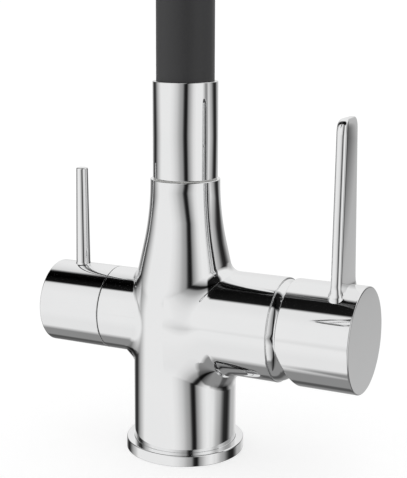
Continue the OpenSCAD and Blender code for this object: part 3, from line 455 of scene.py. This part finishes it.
DOME_R = 0.0072
DOME_CENTRE_R = 0.01507
DOME_CENTRE_X = 0.04755
DOME_TIP = 0.0563
DOME_FOOT_R = 0.0218
DOME_LIP_R = 0.0176
DOME_BORE = 0.0175
DOME_HOLLOW_R = 0.0195
DOME_WALL = 0.0016
DOME_SEAT = MIXER_FACE + 0.00002
tilt = np.radians(np.linspace(8, 45, 20))
shoulder = np.stack([DOME_CENTRE_R + DOME_R * np.cos(tilt),
                     DOME_CENTRE_X + DOME_R * np.sin(tilt)], 1)
back = MIXER_FACE + DOME_WALL
dome = np.concatenate([[(DOME_BORE, DOME_SEAT), (DOME_FOOT_R, DOME_SEAT)], shoulder,
                       [(DOME_LIP_R, DOME_TIP), (DOME_LIP_R - DOME_WALL, DOME_TIP),
                        (DOME_HOLLOW_R, back), (DOME_BORE, back), (DOME_BORE, DOME_SEAT)]])
points, faces = turned(dome)
dome_ring = add_piece("dome", place(points, *MIXER_AXES), faces[:, ::-1], chrome, "tap_body")
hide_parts("dome_ring")


# The mixer handle is a chromed drum over the dome, cut back at a slant below so that it can tilt,
# with a flat end. A steel grub screw holds it on the spindle behind a chromed plug underneath.

HANDLE_R = 0.023
HANDLE_X = 0.0525
HANDLE_END = 0.0845
HANDLE_FLOOR = 0.0700
HANDLE_WALL = 0.0015
RELIEF_DROP = 0.0022
RELIEF_ANGLE = math.radians(18)


def handle_drum(sides=256):
    """Rows round the arm's axis, each a radius and a distance: from the closed bore out over the
    inner rim, along the drum and in over the end. Rows of the rim follow the slanted cut,
    x = HANDLE_X + max(0, -RELIEF_DROP - r sin t) tan(RELIEF_ANGLE)."""
    bore, rim_len, end_len, hold = HANDLE_R - HANDLE_WALL, 0.001, 0.002, 0.00004
    rim = softened([(bore, rim_len), (bore, 0), (HANDLE_R, 0), (HANDLE_R, rim_len)],
                   [0, 0.0002, 0.0006, 0])
    end = softened([(HANDLE_R, HANDLE_END - end_len), (HANDLE_R, HANDLE_END), (0, HANDLE_END)],
                   [0, 0.0006, 0], steps=8)
    floor = np.array([(0, HANDLE_FLOOR), (bore, HANDLE_FLOOR), (bore, HANDLE_FLOOR - hold)])
    rows = np.concatenate([floor, rim, end])
    follows = np.repeat([0, 1, 0], [len(floor), len(rim), len(end)])[:, None]
    t = np.linspace(0, 2 * math.pi, sides + 1)
    r, x = rows[:, 0, None], rows[:, 1, None]
    rise = r * np.sin(t)
    cut = HANDLE_X + np.maximum(0, -RELIEF_DROP - rise) * math.tan(RELIEF_ANGLE)
    points = np.stack([x + follows * cut, r * np.cos(t), ARM_Z + rise], -1)
    points[:, -1] = points[:, 0]
    return points.reshape(-1, 3), grid_faces(len(rows), sides + 1)


points, faces = handle_drum()
handle = add_piece("mixer_drum", points, faces[:, ::-1], chrome, "mixer_handle")
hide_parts("handle")
dress(steel, "handle_screw")
dress(chrome, "handle_plug")


# The mixer lever is a tall flat blade, forged and chromed, that narrows upwards. It is fixed in
# the top of the drum, with a soft root and rounded edges.

LEVER_X = 0.07485
LEVER_FOOT = 0.074
LEVER_WIDEST = 0.0835
LEVER_TOP = 0.1545
LEVER_HALF_T = 0.00235
LEVER_FOOT_HALF = 0.0130
LEVER_TIP_HALF = 0.0101
LEVER_CORNER = 0.0045
ROOT_TOP = 0.0822
ROOT_FADE = 0.0012
ROOT_WIDER = 0.0008
ROOT_THICKER = 0.0011
TIP_THINNER = 0.0012
BACK_FALL = 0.0016
EDGE_SHARE = 0.9
FALL_SHARES = (0.25, 0.75)


def lever_blade():
    """Oblong sections with round edges of radius e, x = +-(T - e) + e cos t and
    y = +-(W - e) + e sin t. The half width W runs straight from LEVER_WIDEST to the tip, flares
    at the root by exp(-height / ROOT_FADE) and rounds in at the top, and the outer face falls
    away to the back by BACK_FALL."""
    # Rows stand closer at the root, and quarter circles round the corners at the tip
    low, high = (LEVER_FOOT, 0.090), (0.0915, LEVER_TOP - LEVER_CORNER - 0.0004)
    up = np.concatenate([np.linspace(*low, 20), np.linspace(*high, 40)])
    k = (up - LEVER_WIDEST) / (LEVER_TOP - LEVER_WIDEST)
    root = np.exp(-np.maximum(up - ROOT_TOP, 0) / ROOT_FADE)
    width = LEVER_FOOT_HALF + (LEVER_TIP_HALF - LEVER_FOOT_HALF) * k + ROOT_WIDER * root
    thick = LEVER_HALF_T + ROOT_THICKER * root
    q = np.linspace(0, math.pi / 2, 14)[1:]
    up = np.concatenate([up, LEVER_TOP - LEVER_CORNER + LEVER_CORNER * np.sin(q)])
    width = np.concatenate([width, LEVER_TIP_HALF - LEVER_CORNER * (1 - np.cos(q))])
    thick = np.concatenate([thick, LEVER_HALF_T - TIP_THINNER * (1 - np.cos(q)) ** 1.5])
    up, width, thick = (np.append(v, w)[:, None] for v, w in ((up, up[-1]), (width, 0), (thick, 0)))
    # Round the section: two front corners, the inner flat, two back corners, the outer flat
    arc, flat = np.linspace(0, math.pi / 2, 20), np.linspace(1, -1, 14)[1:-1]
    one = np.ones(len(arc))
    t = np.concatenate([arc, arc + math.pi / 2, 0 * flat + math.pi, arc + math.pi,
                        arc + 1.5 * math.pi, 0 * flat])
    side_x = np.concatenate([one, -one, 0 * flat - 1, -one, one, 0 * flat + 1])
    side_y = np.concatenate([one, one, flat, -one, -one, -flat])
    edge = EDGE_SHARE * np.minimum(thick, width)
    x = (thick - edge) * side_x + edge * np.cos(t)
    y = (width - edge) * side_y + edge * np.sin(t)
    back = (y / np.maximum(width, 1e-6) + 1) / 2
    fall = BACK_FALL * thick / LEVER_HALF_T * (FALL_SHARES[0] * back + FALL_SHARES[1] * back ** 2)
    x = x - fall * (x / np.maximum(thick, 1e-6) + 1) / 2
    points = np.stack([LEVER_X + x, y, up + 0 * x], -1)
    points = np.concatenate([points, points[:, :1]], 1)
    return points.reshape(-1, 3), grid_faces(*points.shape[:2])


points, faces = lever_blade()
lever = add_piece("mixer_blade", points, faces[:, ::-1], chrome, "mixer_handle")
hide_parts("mixer_lever")


# The filter valve is a small brass headwork with two ceramic discs and a rubber seal, screwed
# into the left arm. Its spindle carries the knob on a square.

dress(brass, "valve_body", "valve_spindle")
dress(rubber, "valve_seal", "valve_o_ring")
dress(ceramic, "valve_fixed_disc", "valve_turning_disc")
dress(steel, "valve_clip")


# The filter knob is a chromed drum that continues the left arm, and the slim tapering pin that
# turns it is screwed into its top.

KNOB_X = 0.0354
KNOB_END = 0.066
KNOB_FLOOR = 0.0598
KNOB_WALL = 0.0025
PIN_AXES = ((-0.0534, 0, 0), (1, 0, 0), (0, 1, 0), (0, 0, 1))
PIN_LOW = 0.0770
PIN_LOW_R = 0.0040
PIN_COLLAR = 0.0797
PIN_COLLAR_R = 0.0036
PIN_FOOT = 0.0806
PIN_FOOT_R = 0.0033
PIN_TOP = 0.1252
PIN_TIP_R = 0.0027
knob_bore = FILTER_R - KNOB_WALL
knob = softened([(0, KNOB_FLOOR), (knob_bore, KNOB_FLOOR), (knob_bore, KNOB_X), (FILTER_R, KNOB_X),
                 (FILTER_R, KNOB_END), (0, KNOB_END)], [0, 0, 0.0002, 0.0003, 0.0006, 0])
points, faces = turned(knob)
filter_knob = add_piece("filter_drum", place(points, *FILTER_AXES), faces[:, ::-1], chrome,
                        "filter_control")
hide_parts("filter_knob")
# From the end inside the knob over its small collar to the tip
pin = softened([(0, PIN_LOW), (PIN_LOW_R, PIN_LOW), (PIN_COLLAR_R, PIN_COLLAR),
                (PIN_FOOT_R, PIN_FOOT), (PIN_TIP_R, PIN_TOP), (0, PIN_TOP)],
               [0, 0, 0.0004, 0.002, 0.0006, 0])
points, faces = turned(pin, sides=96)
filter_lever = add_piece("filter_pin", place(points, *PIN_AXES), faces[:, ::-1], chrome,
                         "filter_control")
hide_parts("filter_lever")


# A brass stem with two rubber seals turns in the neck, kept by a steel screw from behind. The
# chromed collar covers it above a thin plastic slide ring and takes the sleeve's end.

COLLAR_R = 0.0144
COLLAR_BORE = 0.01286
COLLAR_FOOT = 0.1246
COLLAR_TOP = 0.167
collar = softened([(COLLAR_BORE, COLLAR_FOOT), (COLLAR_R, COLLAR_FOOT), (COLLAR_R, COLLAR_TOP),
                   (COLLAR_BORE, COLLAR_TOP), (COLLAR_BORE, COLLAR_FOOT)],
                  [0, 0.0003, 0.0003, 0.0001, 0])
points, faces = turned(collar)
spout_collar = add_piece("spout_collar", points, faces[:, ::-1], chrome, "spout_riser")
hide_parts("collar")
dress(brass, "swivel_stem")
dress(rubber, "stem_seals", "tube_seal")
dress(steel, "lock_screw")
dress(white_plastic, "slide_ring")


# The spout is one soft silicone sleeve over a mixed water hose and a filtered water tube, bent
# over in a half circle. The sleeve is cut into lengths in the middle of the links, so each length
# reaches across one joint of the part.

SLEEVE_R = 0.0128
SLEEVE_FOOT = COLLAR_FOOT + 0.0185
BEND_Z = 0.300
BEND_R = 0.095
DROP = 0.033
LINK = BEND_R * math.radians(36)
RISER_ROWS = 140
LINK_ROWS = 70
LINKS = ("spout_riser", "spout_link_2", "spout_link_3", "spout_link_4", "spout_nozzle")


def along_bend(distance):
    """Middle line of the spout by distance d from the bend's start: on the half circle
    y = R (cos a - 1) and z = BEND_Z + R sin a with a = d / R, before it straight up and past it
    straight down. The third value is a, the line's turn from upright."""
    turn = np.clip(distance / BEND_R, 0, math.pi)
    below = np.minimum(distance, 0)
    past = np.maximum(distance - BEND_R * math.pi, 0)
    y = BEND_R * (np.cos(turn) - 1) - past * np.sin(turn)
    z = BEND_Z + BEND_R * np.sin(turn) + below + past * np.cos(turn)
    return y, z, turn


def sleeve_length(start, end, rows, sides=96):
    """A tube of radius SLEEVE_R about the middle line: centre + r (cos t, sin t) across it."""
    y, z, turn = (v[:, None] for v in along_bend(np.linspace(start, end, rows)))
    t = np.linspace(0, 2 * math.pi, sides + 1)
    out = np.stack([np.cos(t) + 0 * y, np.sin(t) * np.cos(turn), np.sin(t) * np.sin(turn)], -1)
    out[:, -1] = out[:, 0]
    points = np.stack([0 * y, y, z], -1) + SLEEVE_R * out
    return points.reshape(-1, 3), grid_faces(rows, sides + 1)[:, ::-1], out.reshape(-1, 3)


silicone = worked("soft_silicone", (0.034, 0.034, 0.036), (0.046, 0.046, 0.048), metallic=0,
                  smooth=0.42, dull=0.58, fineness=1200, depth=0.00001)
silicone.node_tree.nodes["Principled BSDF"].inputs["Sheen Weight"].default_value = 0.2
cuts = [SLEEVE_FOOT - BEND_Z, *(LINK * (i + 0.5) for i in range(5)), BEND_R * math.pi + DROP]
for i, (start, end) in enumerate(zip(cuts, cuts[1:])):
    points, faces, out = sleeve_length(start, end, LINK_ROWS if i else RISER_ROWS)
    rides = {0: LINKS[0], 5: LINKS[-1]}.get(i)
    piece = add_piece("sleeve_length_%d" % (i + 1), points, faces, silicone, rides, out)
    if not rides:
        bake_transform(piece)
    if i < 5:
        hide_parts("sleeve_%d" % (i + 1))
clear_tube = worked("clear_tube", (0.72, 0.76, 0.8), (0.68, 0.72, 0.76), metallic=0, smooth=0.1,
                    dull=0.2, fineness=300, depth=0.00001)
dress(grey_plastic, *("hose_%d" % i for i in range(1, 6)))
dress(clear_tube, *("tube_%d" % i for i in range(1, 6)))


# The nozzle is a chromed shell on the sleeve's end with a brass stem inside. The aerator housing
# with its insert screws in from below, the filtered water's own outlet at its centre.

NOZZLE_AXES = ((0, -2 * BEND_R, BEND_Z), (1, 0, 0), (0, -1, 0), (0, 0, -1))
# Distances down from the bend's end
NOZZLE_START = 0.015
NOZZLE_END = 0.075
NOZZLE_STEP = 0.0331
NOZZLE_BORE = 0.01155
shell = softened([(COLLAR_BORE, NOZZLE_START), (COLLAR_R, NOZZLE_START), (COLLAR_R, NOZZLE_END),
                  (NOZZLE_BORE, NOZZLE_END), (NOZZLE_BORE, NOZZLE_STEP), (COLLAR_BORE, NOZZLE_STEP),
                  (COLLAR_BORE, NOZZLE_START)], [0, 0.0003, 0.0006, 0, 0, 0, 0])
points, faces = turned(shell)
nozzle = add_piece("nozzle", place(points, *NOZZLE_AXES), faces[:, ::-1], chrome, "spout_nozzle")
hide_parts("nozzle_shell")
dress(brass, "nozzle_stem")
dress(rubber, "aerator_seal")
dress(chrome, "aerator_housing")
dress(grey_plastic, "aerator_insert")
dress(white_plastic, "filtered_outlet")


# The camera stands as the photograph's did: to the right of the front and a little above the
# tap. Focal length and centre are in pixels, because the picture is cropped off centre.

PICTURE = (407, 478)
FOCAL = 1150.4
CENTRE = (180.8, 198.8)
BEARING = math.radians(26.83)
DIP = math.radians(10.09)
camera_data = bpy.data.cameras.new("camera")
camera_data.sensor_width = 36
camera_data.lens = FOCAL * camera_data.sensor_width / PICTURE[1]
camera_data.shift_x = (PICTURE[0] / 2 - CENTRE[0]) / PICTURE[1]
camera_data.shift_y = -(PICTURE[1] / 2 - CENTRE[1]) / PICTURE[1]
camera = bpy.data.objects.new("camera", camera_data)
bpy.context.scene.collection.objects.link(camera)
camera.location = (0.2250, -0.4493, 0.2041)
camera.rotation_euler = (math.radians(90) - DIP, 0, BEARING)
bpy.context.scene.camera = camera


# The worktop is a wide square of white paper under the tap. To the camera it is white where no
# shadow falls: half of it shines by itself and half is lit, so the tap keeps a faint shadow.

FLOOR_HALF = 40
FLOOR_Z = -0.0001
FLOOR_SHINE = 0.58
bpy.context.scene.view_settings.view_transform = "Standard"


def pale_floor():
    """A flat square with a paper's slight unevenness, which the polished metal doesn't mirror."""
    mesh = bpy.data.meshes.new("floor")
    corners = [(-FLOOR_HALF, -FLOOR_HALF, 0), (FLOOR_HALF, -FLOOR_HALF, 0),
               (FLOOR_HALF, FLOOR_HALF, 0), (-FLOOR_HALF, FLOOR_HALF, 0)]
    mesh.from_pydata(corners, [], [(0, 1, 2, 3)])
    floor = bpy.data.objects.new("floor", mesh)
    bpy.context.scene.collection.objects.link(floor)
    material = bpy.data.materials.new("pale_floor")
    material.use_nodes = True
    nodes, links = material.node_tree.nodes, material.node_tree.links
    shader = nodes["Principled BSDF"]
    shader.inputs["Roughness"].default_value = 0.6
    shader.inputs["Specular IOR Level"].default_value = 0
    seat = nodes.new("ShaderNodeTexCoord")
    paper = nodes.new("ShaderNodeTexNoise")
    paper.inputs["Scale"].default_value = 30.0
    links.new(seat.outputs["Object"], paper.inputs["Vector"])
    tint = nodes.new("ShaderNodeMix")
    tint.data_type = "RGBA"
    tint.inputs["A"].default_value = (0.6, 0.6, 0.6, 1)
    tint.inputs["B"].default_value = (0.62, 0.62, 0.62, 1)
    links.new(paper.outputs["Fac"], tint.inputs["Factor"])
    links.new(tint.outputs["Result"], shader.inputs["Base Color"])
    path = nodes.new("ShaderNodeLightPath")
    shine = nodes.new("ShaderNodeMath")
    shine.operation = "MULTIPLY"
    shine.inputs[1].default_value = FLOOR_SHINE
    links.new(path.outputs["Is Camera Ray"], shine.inputs[0])
    shader.inputs["Emission Color"].default_value = (1, 1, 1, 1)
    links.new(shine.outputs[0], shader.inputs["Emission Strength"])
    mesh.materials.append(material)
    floor.location.z = FLOOR_Z
    floor.visible_glossy = False


pale_floor()


# The light is a pale tent as used for polished goods, with dark gaps between its cloths that give
# the metal its lines: a seam ahead, a gap at each side, a slot overhead and a grey ground.

METAL_LIGHT = 0.84
PLAIN_LIGHT = 0.75


def light_tent():
    """Light by direction, from three angles: bearing, round the tap from the camera's side and
    positive to the right; height above the horizon; and tunnel, the turn round the X axis from
    the front over the top to the back. The light is seam times side gaps times the lesser of
    slot and ground, and the gaps lean aside as the height changes. Only mirrored rays see this;
    others meet a plain light."""
    world = bpy.data.worlds.new("studio")
    bpy.context.scene.world = world
    world.use_nodes = True
    nodes, links = world.node_tree.nodes, world.node_tree.links
    nodes.clear()

    def sums(kind, *values):
        """A Math node on numbers or sockets."""
        node = nodes.new("ShaderNodeMath")
        node.operation = kind
        for socket, value in zip(node.inputs, values):
            if isinstance(value, (int, float)):
                socket.default_value = value
            else:
                links.new(value, socket)
        return node.outputs[0]

    def curve(value, stops):
        """A level by angle through stops of (degrees, level), straight between them."""
        low, high = stops[0][0], stops[-1][0]
        node = nodes.new("ShaderNodeMapRange")
        links.new(value, node.inputs["Value"])
        node.inputs["From Min"].default_value = math.radians(low)
        node.inputs["From Max"].default_value = math.radians(high)
        ramp = nodes.new("ShaderNodeValToRGB")
        links.new(node.outputs["Result"], ramp.inputs["Fac"])
        elements = ramp.color_ramp.elements
        while len(elements) < len(stops):
            elements.new(0.5)
        for element, (angle, level) in zip(elements, stops):
            element.position = (angle - low) / (high - low)
            element.color = (level, level, level, 1)
        return ramp.outputs["Color"]

    def within(level, reach):
        """The level where reach is 1, fading to full light where it is 0."""
        return sums("ADD", sums("MULTIPLY", sums("SUBTRACT", level, 1), reach), 1)

    def leaning(share, degrees):
        """An angle aside that follows a share from 0 to 1."""
        return sums("MULTIPLY", share, math.radians(degrees))

    direction = nodes.new("ShaderNodeTexCoord").outputs["Generated"]
    to_camera = nodes.new("ShaderNodeVectorRotate")
    to_camera.rotation_type = "Z_AXIS"
    to_camera.inputs["Angle"].default_value = -BEARING
    links.new(direction, to_camera.inputs["Vector"])
    tap_axes, camera_axes = nodes.new("ShaderNodeSeparateXYZ"), nodes.new("ShaderNodeSeparateXYZ")
    links.new(direction, tap_axes.inputs[0])
    links.new(to_camera.outputs[0], camera_axes.inputs[0])
    _, y, z = tap_axes.outputs
    across, ahead, _ = camera_axes.outputs
    tunnel = sums("ARCTAN2", z, sums("MULTIPLY", y, -1))
    bearing = sums("ARCTAN2", across, sums("MULTIPLY", ahead, -1))
    height = sums("ARCSINE", z)
    # How far seams and gaps lean by height, and where they end above and below
    lean = curve(height, [(-22, 1.0), (-7, 0.0), (3, 0.5), (12, 0.55)])
    right_lean = curve(height, [(-22, 1.0), (-7, 0.0), (-2, 0.4), (12, 0.6)])
    left_lean = curve(height, [(-22, 0.0), (-7, 0.38), (-4, 0.26), (3, 0.26), (10, 0.44),
                               (20, 0.61), (30, 0.7), (60, 1.0)])
    upright = curve(height, [(-50, 0.0), (-35, 1.0), (14, 1.0), (35, 0.0)])
    low = curve(height, [(-50, 0.0), (-35, 1.0), (60, 1.0), (75, 0.0)])
    middle = curve(height, [(-21, 0.0), (-12, 1.0), (14, 1.0), (35, 0.0)])
    # The seam ahead, with soft shade on both sides of its dark core; it narrows where it leans
    front = sums("SUBTRACT", bearing, leaning(lean, 21))
    front = sums("MULTIPLY", front, sums("ADD", sums("MULTIPLY", lean, 0.3), 1))
    seam = curve(front, [
        (-60, 1.0), (-46, 0.9), (-31, 0.7), (-21, 0.47), (-13, 0.36), (-10, 0.26), (-7, 0.09),
        (-4, 0.02), (2, 0.01), (5, 0.06), (9, 0.3), (14, 0.46), (20, 0.65), (27, 0.86), (38, 1.0)])
    # The gap to the right, a weaker one before it, and the gap to the left behind the camera
    right = curve(sums("ADD", bearing, leaning(right_lean, 25)), [
        (88, 1.0), (98, 0.64), (108, 0.42), (113, 0.22), (116, 0.12), (121, 0.03), (132, 0.02),
        (137, 0.08), (141, 0.2), (149, 0.54), (163, 0.63), (180, 0.95)])
    weaker = curve(sums("ADD", bearing, leaning(lean, 10)), [
        (62, 1.0), (67, 0.8), (72, 0.5), (76, 0.3), (80, 0.3), (84, 0.5), (90, 1.0)])
    left = curve(sums("SUBTRACT", bearing, leaning(left_lean, 36)), [
        (-195, 1.0), (-175, 0.8), (-164, 0.32), (-154, 0.1), (-150, 0.03), (-141, 0.03),
        (-136, 0.12), (-132, 0.25), (-128, 0.4), (-122, 0.58), (-116, 0.73), (-111, 0.88),
        (-104, 1.0)])
    sides = sums("MULTIPLY", within(right, upright),
                 sums("MULTIPLY", within(weaker, middle), within(left, low)))
    # The slot overhead and the grey ground, which is seen higher ahead and to the right
    slot = curve(tunnel, [
        (-180, 0.7), (-144, 0.38), (-128, 0.25), (-121, 0.11), (-112, 0.11), (-107, 0.31),
        (-80, 0.31), (-68, 0.95), (60, 0.95), (64, 0.01), (99, 0.01), (107, 1.0), (180, 1.1)])
    steep = curve(height, [(-36, 1.0), (-20, 0.0), (28, 0.0), (45, 1.0)])
    nearer = curve(sums("SUBTRACT", bearing, height), [
        (-14, 0.0), (-7, 1.0), (150, 1.0), (190, 0.0)])
    beside = curve(bearing, [(0, 0.0), (40, 1.0), (110, 1.0), (140, 0.0)])
    ground = curve(sums("SUBTRACT", height, leaning(beside, 24)), [(-61, 0.31), (-54, 1.0)])
    slot = sums("MINIMUM", within(slot, steep), within(ground, nearer))
    level = sums("MULTIPLY", sums("MULTIPLY", seam, sides), slot)

    def light(colour, strength=1.0):
        """A Background node with a colour or a socket as its light."""
        node = nodes.new("ShaderNodeBackground")
        node.inputs["Strength"].default_value = strength
        if isinstance(colour, (int, float)):
            node.inputs["Color"].default_value = (colour, colour, colour, 1)
        else:
            links.new(colour, node.inputs["Color"])
        return node.outputs[0]

    def choose(share, first, second):
        """A Mix Shader node."""
        node = nodes.new("ShaderNodeMixShader")
        for socket, value in zip(node.inputs, (share, first, second)):
            links.new(value, socket)
        return node.outputs[0]

    path = nodes.new("ShaderNodeLightPath")
    straight = sums("MAXIMUM", path.outputs["Is Camera Ray"], path.outputs["Is Transmission Ray"])
    plain = choose(straight, light(PLAIN_LIGHT), light(1.0))
    out = nodes.new("ShaderNodeOutputWorld")
    links.new(choose(path.outputs["Is Glossy Ray"], plain, light(level, METAL_LIGHT)),
              out.inputs["Surface"])


light_tent()
